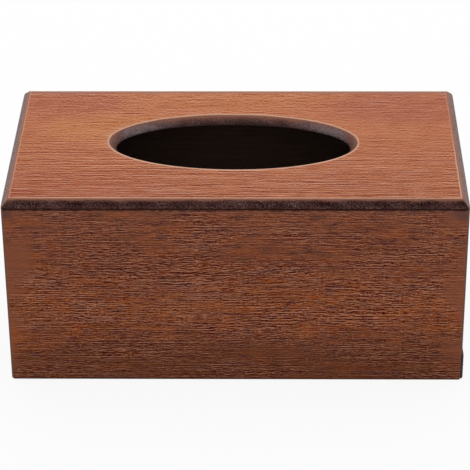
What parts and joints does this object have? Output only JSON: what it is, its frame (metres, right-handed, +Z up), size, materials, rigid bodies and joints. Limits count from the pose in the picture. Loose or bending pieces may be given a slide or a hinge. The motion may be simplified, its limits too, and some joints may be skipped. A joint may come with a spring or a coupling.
{
  "type": "tissue box",
  "caption": "Rectangular veneered wooden tissue box with bevelled top edges, a bevelled oval opening and a base that slides out at one end for refilling.",
  "frame": {"origin": "on the table, under the middle of the closed box", "axes": "+X along the front towards the end where the base slides out, +Y from front to back, +Z up"},
  "size_m": [0.2408, 0.13, 0.109],
  "materials": {
    "top_veneer": "reddish-brown veneer, fine straight grain along the length, satin varnish",
    "wall_veneer": "darker brown veneer, coarse short-pored grain along the length, satin varnish",
    "stained_board": "board edges and inside faces stained dark brown, satin",
    "inside_wood": "plain softwood stained dark, matt",
    "base_sheet": "thin dark brown hardboard, smooth above and matt below",
    "brad_steel": "plain wire brads, slightly dull"
  },
  "bodies": {
    "box": {"top_board": "stained_board", "top_veneer": "top_veneer", "front_board": "stained_board", "front_veneer": "wall_veneer", "back_board": "stained_board", "back_veneer": "wall_veneer", "left_end_board": "stained_board", "left_end_veneer": "wall_veneer", "right_end_board": "stained_board", "right_end_veneer": "wall_veneer", "corner_block_front_left": "inside_wood", "corner_block_front_right": "inside_wood", "corner_block_back_left": "inside_wood", "corner_block_back_right": "inside_wood", "front_runner": "inside_wood", "back_runner": "inside_wood"},
    "base": {"base_board": "base_sheet", "base_lip": "stained_board", "base_lip_veneer": "wall_veneer", "lip_brads": "brad_steel"}
  },
  "joints": [
    {"name": "base_slide", "type": "slide", "parent": "box", "child": "base", "axis": [1, 0, 0], "range_m": [0, 0.24]}
  ]
}
